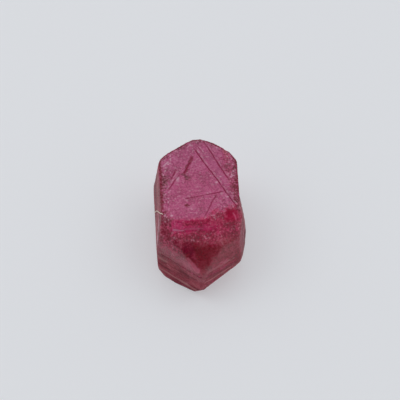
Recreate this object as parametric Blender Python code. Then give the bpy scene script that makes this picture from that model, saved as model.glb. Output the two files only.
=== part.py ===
"""A raw ruby crystal, uncut, resting on its broken base.

One natural crystal of corundum: a stout six-sided prism, longer than it is wide, that tapers
slightly above its belt. Its top is the flat basal face, crossed by low growth steps at about
sixty degrees to each other. The front drops over a ledge to a dark sloping face, which meets
two steep facets at the front point. Fine growth lines run round the belt below them.

The frame is in metres, +Z up, with the front point toward -Y. The origin lies on the resting
plane, under the middle of the crystal's box.
"""

import math
import random
from typing import NamedTuple

import bmesh
import bpy
from mathutils import Matrix, Vector

MM = 0.001

# Driving dimensions
HEIGHT = 6.75 * MM
BELT_TOP = 3.4 * MM
ROUGH_BLOCK = 30.0 * MM
SEED = 11

# The six-sided axis stands a little off the middle of the crystal's box
AXIS = (0.135 * MM, 0.03 * MM)

# Colour and finish of the frosted ruby
RUBY_COLOUR = (0.32, 0.045, 0.09, 1.0)
RUBY_ROUGHNESS = 0.42

# Growth steps on the basal face: each drops the plate beyond it
STEP_DROP = 0.09 * MM

# Growth lines round the belt
LINE_HALF_WIDTH = 0.07 * MM
LINE_DEPTH = 0.055 * MM
LINE_MARGIN = 0.25 * MM
FACE_HALF_LENGTH = 8.0 * MM

# Three-cornered etch pits on the basal face
PIT_COUNT = 22
PIT_RADIUS = (0.10 * MM, 0.21 * MM)
PIT_DEPTH = 0.45
PIT_SPACING = 0.55 * MM


class Face(NamedTuple):
    """A flat face: where it looks, how steep it is, and how far out it stands.

    heading is in degrees round from the front, positive toward +X. slope is in degrees from
    the horizontal: over 90 is an overhang. reach is the distance from the axis at height z.
    """

    heading: float
    slope: float
    reach: float
    z: float = BELT_TOP


class Side(NamedTuple):
    """One side of the crystal: a tapering upper face, a belt and an undercut.

    The belt is upright, or leans in a little where belt_slope is under 90.
    """

    heading: float
    reach: float
    upper_slope: float
    belt_foot: float
    under_slope: float
    belt_lines: int
    upper_lines: int
    belt_slope: float = 90.0


SIDES = {
    "front_left": Side(-36.0, 5.88 * MM, 78.0, 0.10 * MM, 109.0, 9, 0, 87.0),
    "left": Side(-85.6, 4.40 * MM, 78.0, 0.20 * MM, 108.0, 4, 1),
    "left_shoulder": Side(-110.0, 5.62 * MM, 82.0, 0.90 * MM, 122.0, 3, 2),
    "back_left": Side(-142.0, 6.33 * MM, 84.0, 0.30 * MM, 108.0, 4, 4),
    "back_tip": Side(180.0, 7.33 * MM, 84.0, 0.85 * MM, 128.0, 3, 2),
    "back_right": Side(146.0, 6.48 * MM, 84.0, 1.05 * MM, 119.0, 3, 4),
    "right_shoulder": Side(118.0, 5.48 * MM, 84.0, 0.50 * MM, 114.0, 3, 2),
    "right_bulge": Side(93.0, 4.29 * MM, 81.0, 1.10 * MM, 118.0, 3, 0),
    "right_cheek": Side(79.0, 4.74 * MM, 81.0, 1.45 * MM, 122.0, 3, 0),
    "front_right": Side(32.5, 6.34 * MM, 66.0, 1.20 * MM, 121.0, 5, 0),
}

FACETS = {
    "dark_front": Face(2.0, 40.0, 7.43 * MM),
    "left_facet_crown": Face(-35.7, 60.0, 5.43 * MM, 5.0 * MM),
    "speckled_slope": Face(-40.0, 54.5, 4.17 * MM, HEIGHT),
    "front_break": Face(8.0, 120.0, 7.00 * MM, 0.80 * MM),
    "right_break": Face(47.5, 128.0, 5.30 * MM, 1.45 * MM),
    "foot_break": Face(-28.0, 112.0, 6.17 * MM, 0.05 * MM),
    "corner_break": Face(-52.0, 97.0, 5.75 * MM, 0.0),
}

# The right side narrows behind its bulge: a waist, and the flat back half beyond it
WAIST = Face(100.0, 77.0, 4.20 * MM)
RIGHT_BACK = Face(91.4, 87.0, 3.87 * MM)

# Ledge at the front of the basal face: two risers, each with the shelf at its foot
LEDGES = {
    "left_ledge": (Face(4.0, 53.0, 3.10 * MM, HEIGHT), Face(3.8, 18.0, 3.52 * MM, 5.97 * MM)),
    "right_ledge": (Face(29.0, 32.0, 2.72 * MM, HEIGHT), Face(14.0, 20.0, 4.80 * MM, 5.58 * MM)),
}

# Edges of the growth plates on the basal face, from the highest plate outward
STEP_EDGES = {
    "right_inner_step": Face(119.1, 90.0, 2.23 * MM, HEIGHT),
    "right_outer_step": Face(115.0, 90.0, 3.09 * MM, HEIGHT),
    "left_step": Face(-116.0, 90.0, 2.95 * MM, HEIGHT),
}


class Crack(NamedTuple):
    """A V-shaped groove along a face, between two places along the face's level line."""

    face: Face
    half_width: float
    depth: float
    start: float
    end: float


def top_crack(heading: float, reach: float, width: float, depth: float, run: tuple) -> Crack:
    """A crack in the basal face, with its sizes in millimetres."""
    face = Face(heading, 0.0, reach * MM, HEIGHT)
    return Crack(face, width * 0.5 * MM, depth * MM, run[0] * MM, run[1] * MM)


CRACKS = {
    "wedge_crack": top_crack(-112.7, 2.39, 0.24, 0.20, (-3.9, -1.7)),
    "cross_crack": top_crack(17.2, 0.40, 0.10, 0.07, (-1.5, 2.2)),
    "slant_crack": top_crack(66.9, 1.52, 0.10, 0.07, (-1.9, 0.3)),
    "left_pair_inner": top_crack(-112.0, 2.78, 0.11, 0.15, (-2.3, 0.0)),
    "left_pair_outer": top_crack(-108.0, 3.16, 0.10, 0.15, (-1.7, 0.5)),
    "right_chip_inner": top_crack(121.0, 2.45, 0.16, 0.26, (-3.2, -2.2)),
    "right_chip_outer": top_crack(119.0, 2.85, 0.14, 0.28, (-3.1, -1.6)),
}


class Chip(NamedTuple):
    """A shell-shaped bite out of an edge: the middle and radius of the ball that fits it."""

    x: float
    y: float
    z: float
    radius: float


CHIPS = {
    "left_shoulder_chip": Chip(-5.45, 3.05, 0.10, 1.50),
    "back_tip_chip": Chip(0.95, 8.35, 5.75, 1.50),
    "right_edge_chip": Chip(4.85, -1.05, 6.85, 1.30),
    "back_right_chip": Chip(3.95, 6.10, 0.60, 1.55),
}

# Growth lines along the foot of the front right facet, up its slope from the belt
RIGHT_FACET_LINES = (0.28 * MM, 0.62 * MM)


def level_out(heading: float) -> Vector:
    """The level direction in which a heading looks."""
    turn = math.radians(heading)
    return Vector((math.sin(turn), -math.cos(turn), 0.0))


def level_along(heading: float) -> Vector:
    """The level direction that runs along a face of a heading."""
    turn = math.radians(heading)
    return Vector((math.cos(turn), math.sin(turn), 0.0))


def plane_of(face: Face) -> tuple[Vector, Vector]:
    """A point on a face and its outward normal."""
    outward = level_out(face.heading)
    tilt = math.radians(face.slope)
    point = outward * face.reach + Vector((AXIS[0], AXIS[1], face.z))
    return point, outward * math.sin(tilt) + Vector((0.0, 0.0, math.cos(tilt)))


def belt_face(side: Side, height: float) -> Face:
    """A side's belt, given by its reach at a height below the belt's top."""
    lean = (BELT_TOP - height) / math.tan(math.radians(side.belt_slope))
    return Face(side.heading, side.belt_slope, side.reach + lean, height)


def trim(mesh: bmesh.types.BMesh, point: Vector, normal: Vector) -> None:
    """Cuts away what lies on the normal's side of a plane and closes the cut."""
    everything = mesh.verts[:] + mesh.edges[:] + mesh.faces[:]
    cut = bmesh.ops.bisect_plane(
        mesh, geom=everything, dist=1e-8, plane_co=point, plane_no=normal, clear_outer=True
    )
    rim = [item for item in cut["geom_cut"] if isinstance(item, bmesh.types.BMEdge)]
    if rim:
        bmesh.ops.contextual_create(mesh, geom=rim)


def rough_block() -> bmesh.types.BMesh:
    """A cube around the whole crystal, from which a flat-faced form is cut."""
    mesh = bmesh.new()
    bmesh.ops.create_cube(mesh, size=ROUGH_BLOCK)
    return mesh


def finish(mesh: bmesh.types.BMesh, name: str) -> bpy.types.Object:
    """Turns a closed mesh into a named object with its faces pointing out."""
    bmesh.ops.recalc_face_normals(mesh, faces=mesh.faces[:])
    data = bpy.data.meshes.new(name)
    mesh.to_mesh(data)
    mesh.free()
    body = bpy.data.objects.new(name, data)
    bpy.context.collection.objects.link(body)
    return body


def carve(body: bpy.types.Object, cutter: bpy.types.Object) -> None:
    """Subtracts a hidden cutter from the crystal."""
    cutter.hide_render = True
    cutter.display_type = "WIRE"
    cut = body.modifiers.new(cutter.name, "BOOLEAN")
    cut.operation = "DIFFERENCE"
    cut.solver = "EXACT"
    cut.object = cutter


def crystal_habit() -> bpy.types.Object:
    """The crystal's flat-faced form, cut from a block side by side."""
    mesh = rough_block()
    trim(mesh, Vector((0.0, 0.0, HEIGHT)), Vector((0.0, 0.0, 1.0)))
    trim(mesh, Vector((0.0, 0.0, 0.0)), Vector((0.0, 0.0, -1.0)))
    for side in SIDES.values():
        trim(mesh, *plane_of(Face(side.heading, side.upper_slope, side.reach)))
        trim(mesh, *plane_of(Face(side.heading, side.belt_slope, side.reach)))
        foot = belt_face(side, side.belt_foot)
        trim(mesh, *plane_of(Face(side.heading, side.under_slope, foot.reach, foot.z)))
    for facet in FACETS.values():
        trim(mesh, *plane_of(facet))
    return finish(mesh, "ruby_crystal")


def outside_of(name: str, *faces: Face) -> bpy.types.Object:
    """A cutter that fills the space outside every one of some faces."""
    mesh = rough_block()
    for face in faces:
        point, normal = plane_of(face)
        trim(mesh, point, -normal)
    return finish(mesh, name)


def add_groove(mesh: bmesh.types.BMesh, crack: Crack, up: float) -> None:
    """Adds a three-sided bar whose lower edge cuts a groove into a face.

    up is how far up the face's slope the groove runs from the face's own level line.
    """
    point, normal = plane_of(crack.face)
    along = level_along(crack.face.heading)
    uphill = normal.cross(along)
    uphill *= 1.0 if uphill.z >= 0.0 else -1.0
    middle = point + uphill * up
    ring = [
        middle - normal * crack.depth,
        middle + normal * crack.depth + uphill * crack.half_width * 2.0,
        middle + normal * crack.depth - uphill * crack.half_width * 2.0,
    ]
    verts = [mesh.verts.new(corner + along * crack.start) for corner in ring]
    start = mesh.faces.new(verts)
    grown = bmesh.ops.extrude_face_region(mesh, geom=[start])
    moved = [item for item in grown["geom"] if isinstance(item, bmesh.types.BMVert)]
    bmesh.ops.translate(mesh, verts=moved, vec=along * (crack.end - crack.start))
    mesh.faces.ensure_lookup_table()


def spread(low: float, high: float, index: int, count: int, draw: random.Random) -> float:
    """A height for one of several lines, loosely spaced between two heights."""
    return low + (high - low) * (index + draw.uniform(0.15, 0.85)) / count


def growth_lines(name: str, side: Side, draw: random.Random) -> bpy.types.Object:
    """The cutter for one side's growth lines: level grooves, unevenly spread, some of them short."""
    mesh = bmesh.new()
    foot = side.belt_foot + LINE_MARGIN
    top = BELT_TOP - LINE_MARGIN
    heights = [spread(foot, top, i, side.belt_lines, draw) for i in range(side.belt_lines)]
    lines = [belt_face(side, height) for height in heights]
    for i in range(side.upper_lines):
        height = spread(BELT_TOP + LINE_MARGIN, HEIGHT - 2.0 * LINE_MARGIN, i, side.upper_lines, draw)
        inset = (height - BELT_TOP) / math.tan(math.radians(side.upper_slope))
        lines.append(Face(side.heading, side.upper_slope, side.reach - inset, height))
    for line in lines:
        strength = draw.uniform(0.45, 1.1)
        start = -FACE_HALF_LENGTH if draw.random() < 0.7 else draw.uniform(-1.2, 0.2) * MM
        end = FACE_HALF_LENGTH if draw.random() < 0.7 else start + draw.uniform(1.4, 3.0) * MM
        bar = Crack(line, LINE_HALF_WIDTH * strength, LINE_DEPTH * strength, start, end)
        add_groove(mesh, bar, 0.0)
    return finish(mesh, name + "_growth_lines")


def right_facet_lines() -> bpy.types.Object:
    """The cutter for the fine growth lines above the belt on the front right facet."""
    mesh = bmesh.new()
    side = SIDES["front_right"]
    facet = Face(side.heading, side.upper_slope, side.reach)
    for up in RIGHT_FACET_LINES:
        bar = Crack(facet, LINE_HALF_WIDTH, LINE_DEPTH * 0.6, -FACE_HALF_LENGTH, FACE_HALF_LENGTH)
        add_groove(mesh, bar, up)
    return finish(mesh, "right_facet_lines")


def chip_ball(name: str, chip: Chip) -> bpy.types.Object:
    """The cutter for one chip, a coarse ball that leaves flat flakes."""
    mesh = bmesh.new()
    place = Matrix.Translation(Vector((chip.x, chip.y, chip.z)) * MM)
    bmesh.ops.create_icosphere(mesh, subdivisions=2, radius=chip.radius * MM, matrix=place)
    return finish(mesh, name)


def plate_level(x: float, y: float) -> float:
    """The height of the basal face at a place, below each growth step that it is past."""
    place = Vector((x, y, 0.0))
    steps = sum(place.dot(level_out(edge.heading)) > edge.reach for edge in STEP_EDGES.values())
    return HEIGHT - STEP_DROP * steps


def etch_pits(draw: random.Random) -> bpy.types.Object:
    """The cutter for the three-cornered etch pits, spread over the basal face."""
    mesh = bmesh.new()
    centres = []
    while len(centres) < PIT_COUNT:
        centre = Vector((draw.uniform(-3.3, 3.3) * MM, draw.uniform(-2.4, 5.2) * MM, 0.0))
        radius = draw.uniform(*PIT_RADIUS)
        room = abs(centre.x) > 1.9 * MM or centre.y > 3.6 * MM or centre.y < -1.0 * MM
        inside = abs(centre.x) + 0.75 * max(0.0, centre.y) < 4.6 * MM
        apart = all((centre - other).length > PIT_SPACING for other in centres)
        if not (room and inside and apart):
            continue
        centres.append(centre)
        depth = radius * PIT_DEPTH
        top = Vector((AXIS[0] + centre.x, AXIS[1] + centre.y, plate_level(centre.x, centre.y)))
        turn = Matrix.Rotation(math.radians(draw.choice((90.0, 90.0, 30.0))), 4, "Z")
        bmesh.ops.create_cone(
            mesh, cap_ends=True, segments=3, radius1=0.0, radius2=radius * 2.0,
            depth=depth * 2.0, matrix=Matrix.Translation(top) @ turn,
        )
    return finish(mesh, "etch_pits")


def ruby() -> bpy.types.Material:
    """Frosted, deep pinkish red corundum."""
    finish_material = bpy.data.materials.new("ruby")
    finish_material.use_nodes = True
    shader = finish_material.node_tree.nodes["Principled BSDF"]
    shader.inputs["Base Color"].default_value = RUBY_COLOUR
    shader.inputs["Roughness"].default_value = RUBY_ROUGHNESS
    shader.inputs["Metallic"].default_value = 0.0
    shader.inputs["IOR"].default_value = 1.76
    return finish_material


def main() -> None:
    """Builds the crystal."""
    for old in list(bpy.data.objects):
        bpy.data.objects.remove(old, do_unlink=True)
    draw = random.Random(SEED)
    crystal = crystal_habit()
    crystal.data.materials.append(ruby())
    carve(crystal, outside_of("right_back_cut", WAIST, RIGHT_BACK))
    for name, (riser, shelf) in LEDGES.items():
        carve(crystal, outside_of(name, riser, shelf))
    for name, edge in STEP_EDGES.items():
        depth = STEP_DROP * (2.0 if name == "right_outer_step" else 1.0)
        floor = Face(edge.heading, 0.0, edge.reach, HEIGHT - depth)
        carve(crystal, outside_of(name + "_cut", floor, edge))
    for name, crack in CRACKS.items():
        mesh = bmesh.new()
        add_groove(mesh, crack, 0.0)
        carve(crystal, finish(mesh, name))
    for name, side in SIDES.items():
        carve(crystal, growth_lines(name, side, draw))
    carve(crystal, right_facet_lines())
    for name, chip in CHIPS.items():
        carve(crystal, chip_ball(name, chip))
    carve(crystal, etch_pits(draw))


main()
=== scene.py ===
"""A raw ruby crystal: its fine surface and ruby body, with a floor, lights and a camera.

Lengths are millimetres unless a name says metres. Headings are degrees from the front (-Y)
towards +X, and slopes are degrees from level, so a wall has a slope of 90.
"""

import logging
import math
from dataclasses import dataclass, field, fields, replace
from enum import Enum
from typing import Any, Optional, Union

import bpy
import numpy as np
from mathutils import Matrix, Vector, noise


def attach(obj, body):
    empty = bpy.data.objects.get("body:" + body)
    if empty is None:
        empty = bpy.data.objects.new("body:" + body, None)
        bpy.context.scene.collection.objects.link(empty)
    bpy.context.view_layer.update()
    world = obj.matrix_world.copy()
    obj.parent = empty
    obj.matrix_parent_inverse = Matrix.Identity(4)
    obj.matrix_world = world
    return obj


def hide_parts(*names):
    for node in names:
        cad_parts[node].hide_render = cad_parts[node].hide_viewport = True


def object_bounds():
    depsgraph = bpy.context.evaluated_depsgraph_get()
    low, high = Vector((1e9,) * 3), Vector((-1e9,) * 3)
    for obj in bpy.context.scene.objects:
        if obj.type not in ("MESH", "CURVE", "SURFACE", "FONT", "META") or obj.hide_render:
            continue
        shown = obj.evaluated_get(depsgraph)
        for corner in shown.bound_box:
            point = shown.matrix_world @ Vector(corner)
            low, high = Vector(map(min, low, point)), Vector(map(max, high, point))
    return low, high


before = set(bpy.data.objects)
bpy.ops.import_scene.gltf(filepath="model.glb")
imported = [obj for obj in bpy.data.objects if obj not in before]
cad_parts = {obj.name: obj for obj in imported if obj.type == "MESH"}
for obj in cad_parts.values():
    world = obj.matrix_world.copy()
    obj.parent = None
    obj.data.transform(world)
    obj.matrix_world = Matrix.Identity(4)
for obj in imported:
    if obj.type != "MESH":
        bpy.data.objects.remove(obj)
CAD_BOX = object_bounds()

MM = 0.001
AXIS = (0.135, 0.03)  # where the crystal's upright axis stands
TOP = 6.75  # height of the highest plate of the level top
BELT_TOP = 3.4  # height at which the sides' upper faces meet their belts
LONG_DRIFT = 0.025  # sizes of the two waves of a natural line
SHORT_DRIFT = 0.015
LINE_CORE = 0.35  # share of a line's width that shows in full
LINE_END = 0.25  # half the stretch over which a line fades at its ends
STEP_EDGE = 0.04  # half the width of a growth step's edge
BODY = "root"
NODE = "ruby_crystal"
MIX_SHARE, MIX_FIRST, MIX_SECOND, MIX_RESULT = 0, 6, 7, 2  # colour sockets of a Mix node

log = logging.getLogger("ruby")
Colour = tuple[float, float, float, float]
Place = tuple[float, float, float]
Pair = tuple[float, float]
Piece = bpy.types.Object
Array = np.ndarray


# ---- shader maths

class Shade:
    """One output socket of a node tree, which can be used in sums and products."""

    def __init__(self, tree: "ShaderTree", socket: bpy.types.NodeSocket) -> None:
        """Keep the tree and the socket that this value comes from."""
        self.tree = tree
        self.socket = socket

    def maths(self, operation: str, *others: Any) -> "Shade":
        """Add a Math node that works on this value and others, and return its result."""
        inputs = dict(enumerate((self, *others)))
        return self.tree.add("ShaderNodeMath", {"operation": operation}, inputs)

    def __add__(self, other: Any) -> "Shade":
        """Return this plus other."""
        return self.maths("ADD", other)

    def __sub__(self, other: Any) -> "Shade":
        """Return this less other."""
        return self.maths("SUBTRACT", other)

    def __mul__(self, other: Any) -> "Shade":
        """Return this times other."""
        return self.maths("MULTIPLY", other)

    def __rsub__(self, other: float) -> "Shade":
        """Return other less this."""
        return self.tree.number(other) - self

    def __abs__(self) -> "Shade":
        """Return this without its sign."""
        return self.maths("ABSOLUTE")

    __radd__ = __add__
    __rmul__ = __mul__

    def largest(self, other: Any) -> "Shade":
        """Return the larger of this and other."""
        return self.maths("MAXIMUM", other)

    def smallest(self, other: Any) -> "Shade":
        """Return the smaller of this and other."""
        return self.maths("MINIMUM", other)

    def rise(self, low: float, high: float) -> "Shade":
        """Return 0 below low and 1 above high, with a smooth step between them."""
        ends = {"From Min": low, "From Max": high, "Value": self}
        return self.tree.add("ShaderNodeMapRange", {"interpolation_type": "SMOOTHSTEP"}, ends)


Number = Union[float, Array, Shade]


class ShaderTree:
    """The node tree of one material or world, built up by small calls."""

    def __init__(self, owner: Union[bpy.types.Material, bpy.types.World]) -> None:
        """Empty the owner's tree and keep it.

        Args:
            owner: The material or world whose tree it is.
        """
        owner.use_nodes = True
        self.tree = owner.node_tree
        self.tree.nodes.clear()

    def end(self, kind: str, **shaders: Shade) -> None:
        """Add an output node and link shaders to it.

        Args:
            kind: The output node's type name.
            shaders: The shader for each of its sockets, such as Surface and Volume.
        """
        output = self.tree.nodes.new(kind)
        for name, shader in shaders.items():
            self.tree.links.new(shader.socket, output.inputs[name])

    def add(self, kind: str, settings: dict[str, Any], inputs: dict[Any, Any], output: Any = 0) -> Shade:
        """Add one node, set it up and fill its sockets.

        Args:
            kind: The node's type name.
            settings: The node's own properties, which are set first.
            inputs: Socket name or place, and the number, colour or shade that it takes.
            output: Name or place of the socket that is returned.

        Returns:
            The chosen output as a shade.
        """
        node = self.tree.nodes.new(kind)
        for name, value in settings.items():
            setattr(node, name, value)
        for place, value in inputs.items():
            socket = node.inputs[place]
            if isinstance(value, Shade):
                self.tree.links.new(value.socket, socket)
            else:
                socket.default_value = value
        return Shade(self, node.outputs[output])

    def number(self, value: float) -> Shade:
        """Return a plain number as a shade."""
        return self.add("ShaderNodeMath", {"operation": "ADD"}, {0: value, 1: 0.0})

    def attribute(self, name: str) -> Shade:
        """Return a number that the mesh holds at its points."""
        return self.add("ShaderNodeAttribute", {"attribute_name": name}, {}, "Fac")

    def place(self) -> Shade:
        """Return the object coordinates in millimetres, as a vector."""
        coords = self.add("ShaderNodeTexCoord", {}, {}, "Object")
        return self.scaled(coords, (1 / MM, 1 / MM, 1 / MM))

    def scaled(self, vector: Shade, factors: Place) -> Shade:
        """Return a vector with its three parts multiplied by factors."""
        return self.add("ShaderNodeVectorMath", {"operation": "MULTIPLY"}, {0: vector, 1: factors})

    def parts(self, vector: Shade) -> tuple[Shade, Shade, Shade]:
        """Return the x, y and z of a vector."""
        split = self.add("ShaderNodeSeparateXYZ", {}, {0: vector}).socket.node
        return tuple(Shade(self, socket) for socket in split.outputs)

    def grains(self, place: Shade, size: float, detail: float = 2.0, rough: float = 0.5) -> Shade:
        """Return smooth noise from 0 to 1 with lumps of about size millimetres."""
        inputs = {"Vector": place, "Scale": 1 / size, "Detail": detail, "Roughness": rough}
        return self.add("ShaderNodeTexNoise", {}, inputs, "Fac")

    def brighter(self, colour: Shade, share: Shade) -> Shade:
        """Return a colour that is made brighter or darker by a share."""
        return self.add("ShaderNodeVectorMath", {"operation": "SCALE"}, {0: colour, "Scale": share})

    def principled(self, inputs: dict[str, Any]) -> Shade:
        """Return a Principled shader with these sockets filled."""
        return self.add("ShaderNodeBsdfPrincipled", {}, inputs, "BSDF")

    def blend(self, share: Any, first: Any, second: Any) -> Shade:
        """Return the colour between first and second at share."""
        inputs = {MIX_SHARE: share, MIX_FIRST: first, MIX_SECOND: second}
        return self.add("ShaderNodeMix", {"data_type": "RGBA"}, inputs, MIX_RESULT)

    def mixed(self, share: Shade, first: Shade, second: Shade) -> Shade:
        """Return the shader between first and second at share."""
        return self.add("ShaderNodeMixShader", {}, {0: share, 1: first, 2: second})


def rise(value: Number, low: float, high: float) -> Number:
    """Step smoothly from 0 to 1, for an array or for a shade.

    Args:
        value: What is compared with the two ends.
        low: The end where the result is 0.
        high: The end where the result is 1. It may be the smaller of the two.

    Returns:
        The step, of the same sort as value.
    """
    if isinstance(value, Shade):
        return value.rise(low, high)
    share = np.clip((value - low) / (high - low), 0.0, 1.0)
    return share * share * (3.0 - 2.0 * share)


def wave(value: Number) -> Number:
    """Return the sine of an array or of a shade."""
    return value.maths("SINE") if isinstance(value, Shade) else np.sin(value)


def wander(x: Number, y: Number) -> Number:
    """Return the small sideways drift that keeps lines from being quite straight."""
    return wave(1.9 * y + 0.7 * x) * LONG_DRIFT + wave(5.3 * y - 2.1 * x) * SHORT_DRIFT


# ---- the faces and what is on them

@dataclass(frozen=True)
class Skin:
    """How a stretch of the surface looks, in numbers from 0 to 1.

    A stain may be up to 2, where its wine red goes on to near black; on the undercuts and at the foot
    this is painted shade.
    """

    frost: float
    depth: float
    grain: float = 0.0
    # painted highlight: pale specks that stand in for sparkles of reflected light
    sparkle_highlight: float = 0.0
    # painted sheen: share of a grey that stands in for the floor and sky reflected by the sides
    pale: float = 0.0
    # painted highlight: a direct share of the glint colour
    bright: float = 0.0
    # wine red of real marks, and painted shade on the undercuts and at the foot
    stain_and_shade: float = 0.0
    lined: float = 0.0
    matte: float = 0.0


class Finish(Enum):
    """The finishes of the crystal's faces and of the spots on them."""

    LEVEL = Skin(0.92, 0.12, grain=0.42, sparkle_highlight=0.5, matte=0.18, stain_and_shade=0.03)
    CLEAR = Skin(0.3, 0.5, grain=0.15, sparkle_highlight=0.1, matte=0.5)
    ETCHED = Skin(0.5, 0.77, grain=0.36, sparkle_highlight=0.36, matte=0.7, stain_and_shade=0.72)
    DARK = Skin(0.15, 1.0, grain=0.12, matte=0.1)
    BLOTCHED = Skin(0.05, 1.0, grain=0.6, matte=0.95, stain_and_shade=1.25)
    SPECKLED = Skin(0.45, 0.55, grain=0.9, sparkle_highlight=0.4, matte=0.7, stain_and_shade=1.05)
    SATIN = Skin(0.5, 0.62, grain=0.15, pale=0.16, stain_and_shade=0.2)
    # mauve with painted sheen, paler where the face would reflect the sky
    MAUVE_SHEEN = Skin(0.6, 0.55, grain=0.15, pale=0.38, matte=0.2, stain_and_shade=0.25)
    DULL = Skin(0.4, 0.9, grain=0.4, matte=0.3)
    LINED = Skin(0.45, 1.0, grain=0.4, lined=1.0, pale=0.12, matte=0.75, stain_and_shade=0.55)
    # painted shade of the undercuts, dark as under an overhang
    UNDERCUT_SHADE = Skin(0.2, 1.0, grain=0.2, lined=0.3, matte=0.6, stain_and_shade=0.5)
    SILKY = Skin(0.5, 0.85, grain=0.3, pale=0.24, lined=0.7, matte=0.5, stain_and_shade=0.3)
    ROUGH = Skin(0.65, 0.6, grain=0.7, sparkle_highlight=0.2, lined=0.6, matte=0.25)
    SHADED = Skin(0.65, 0.35, grain=0.6, sparkle_highlight=0.55, matte=0.5, stain_and_shade=0.55)
    LILAC = Skin(1.0, 0.0, grain=0.15, sparkle_highlight=0.15, bright=0.1)
    # painted highlight along the lip at the foot of the riser
    LIP_HIGHLIGHT = Skin(1.0, 0.0, bright=0.4)
    MAGENTA = Skin(0.6, 0.44, grain=0.5, sparkle_highlight=0.3, matte=0.6, stain_and_shade=0.15)
    CRIMSON = Skin(0.4, 0.76, grain=0.45, sparkle_highlight=0.2, matte=0.7, stain_and_shade=0.2)
    MOTTLED = Skin(0.45, 0.76, grain=0.36, sparkle_highlight=0.42, matte=0.65, stain_and_shade=0.35)
    RED_GLASS = Skin(0.2, 0.85, matte=0.95, stain_and_shade=0.15)
    GLEAM = Skin(0.8, 0.8, pale=0.6, bright=0.05, matte=0.5)
    # painted shadow where the chipped foot meets the floor
    FOOT_SHADOW = Skin(0.0, 1.0, grain=0.2, matte=0.95, stain_and_shade=1.9)
    TAWNY = Skin(0.4, 0.9, grain=0.35, pale=0.12, matte=0.35, stain_and_shade=0.15)
    BROWNISH = Skin(0.45, 0.85, grain=0.35, pale=0.22, matte=0.3, stain_and_shade=0.2)
    SPARKLING = Skin(0.9, 0.12, grain=0.9, sparkle_highlight=1.0, matte=0.25, stain_and_shade=0.1)
    PITTED = Skin(0.7, 0.2, grain=0.9, sparkle_highlight=0.6, matte=0.55, stain_and_shade=0.85)
    GLINT = Skin(1.0, 0.0, bright=0.9)
    # painted highlight: pale streaks of reflected light on the sides
    STREAK_HIGHLIGHT = Skin(1.0, 0.1, bright=0.95, pale=0.4)
    WOUND = Skin(0.4, 0.15, grain=0.6, matte=0.8, stain_and_shade=1.2)


@dataclass(frozen=True)
class Facet:
    """One flat face, placed by its heading, its slope and its reach from the crystal's axis.

    Its finish fades off it over soft millimetres, ends below lowest, and starts outside beyond.
    """

    heading: float
    slope: float
    reach: float
    height: float
    finish: Finish
    soft: float = 0.05
    lowest: float = -TOP
    beyond: Optional["Facet"] = None

    def normal(self) -> Place:
        """Return the unit vector that points out of the face."""
        turn, lean = math.radians(self.heading), math.radians(self.slope)
        return (math.sin(turn) * math.sin(lean), -math.cos(turn) * math.sin(lean), math.cos(lean))

    def outward(self, x: Number, y: Number, z: Number) -> Number:
        """Return how far a place lies outside the face's plane.

        Args:
            x: Place along X.
            y: Place along Y.
            z: Height.

        Returns:
            The distance, which is below 0 inside the crystal.
        """
        turn = math.radians(self.heading)
        east, north, up = self.normal()
        at = (AXIS[0] + math.sin(turn) * self.reach, AXIS[1] - math.cos(turn) * self.reach)
        return east * (x - at[0]) + north * (y - at[1]) + up * (z - self.height)

    def weight(self, x: Array, y: Array, z: Array) -> Array:
        """Return how much of the face's finish reaches each point, from 1 on it down to 0."""
        near = np.exp(-abs(self.outward(x, y, z)) / self.soft) * rise(z, self.lowest - 0.1, self.lowest)
        return near if self.beyond is None else near * rise(self.beyond.outward(x, y, z), -0.15, 0.05)


@dataclass(frozen=True)
class Side:
    """One side of the crystal: a tapering upper face, a belt and an undercut."""

    heading: float
    reach: float
    upper_slope: float
    belt_foot: float
    under_slope: float
    upper_finish: Finish
    belt_finish: Finish
    belt_slope: float = 90.0

    def upper(self) -> Facet:
        """Return the face above the belt."""
        return Facet(self.heading, self.upper_slope, self.reach, BELT_TOP, self.upper_finish)

    def belt(self) -> Facet:
        """Return the belt, which is upright or leans in a little."""
        return Facet(self.heading, self.belt_slope, self.reach, BELT_TOP, self.belt_finish)

    def undercut(self) -> Facet:
        """Return the face that leans back in below the belt."""
        lean = (BELT_TOP - self.belt_foot) / math.tan(math.radians(self.belt_slope))
        # the undercut's finish is painted shade
        return Facet(self.heading, self.under_slope, self.reach + lean, self.belt_foot, Finish.UNDERCUT_SHADE)


SIDES = (
    Side(-142, 6.33, 84, 0.3, 108, Finish.ROUGH, Finish.ROUGH),
    Side(180, 7.33, 84, 0.85, 128, Finish.ROUGH, Finish.ROUGH),
    Side(146, 6.48, 84, 1.05, 119, Finish.ROUGH, Finish.ROUGH),
    Side(118, 5.48, 84, 0.5, 114, Finish.ROUGH, Finish.ROUGH),
    Side(93, 4.29, 81, 1.1, 118, Finish.SILKY, Finish.LINED),
    Side(79, 4.74, 81, 1.45, 122, Finish.SILKY, Finish.LINED),
    Side(-110, 5.62, 82, 0.9, 122, Finish.SILKY, Finish.ROUGH),
    Side(-85.6, 4.4, 78, 0.2, 108, Finish.SILKY, Finish.LINED),
    Side(-36, 5.88, 78, 0.1, 109, Finish.SATIN, Finish.LINED, 87),
    Side(32.5, 6.34, 66, 1.2, 121, Finish.DULL, Finish.LINED),
)
BACK_LEFT, BACK_TIP, BACK_RIGHT, RIGHT_SHOULDER, BULGE, CHEEK, LEFT_SHOULDER, LEFT = SIDES[:8]
FRONT_LEFT, FRONT_RIGHT = SIDES[8:]
UPPERS = tuple(side.upper() for side in SIDES)
BELTS = tuple(side.belt() for side in SIDES)
UNDERCUTS = tuple(side.undercut() for side in SIDES)
LEVEL_TOP = Facet(0, 0, 0.0, TOP, Finish.LEVEL)
SPECKLED_SLOPE = Facet(-40, 54.5, 4.17, TOP, Finish.SPECKLED, soft=0.15)
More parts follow.
